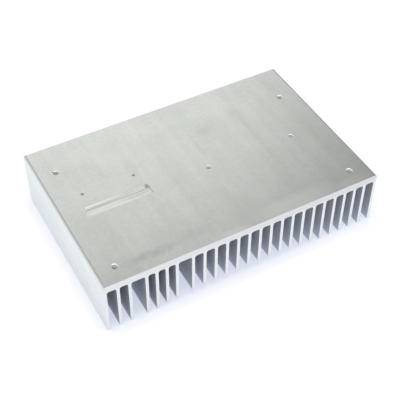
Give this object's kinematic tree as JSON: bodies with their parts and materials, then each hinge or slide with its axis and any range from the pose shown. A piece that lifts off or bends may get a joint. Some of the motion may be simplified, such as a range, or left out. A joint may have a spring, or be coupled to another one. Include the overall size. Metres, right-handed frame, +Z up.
{
  "type": "extruded heat sink",
  "caption": "Extruded aluminium heat sink: a flat drilled and pocketed base plate with straight cooling fins along its other side.",
  "frame": {"origin": "under the middle of the block, in the plane that the outer fins' tips stand on", "axes": "+X across the fins, +Y along the fins, +Z up towards the flat mounting face"},
  "size_m": [0.2, 0.129, 0.042],
  "materials": {
    "extrusion": "satin mill finish, sawn ends"
  },
  "bodies": {
    "root": {"heat_sink": "extrusion"}
  },
  "joints": []
}
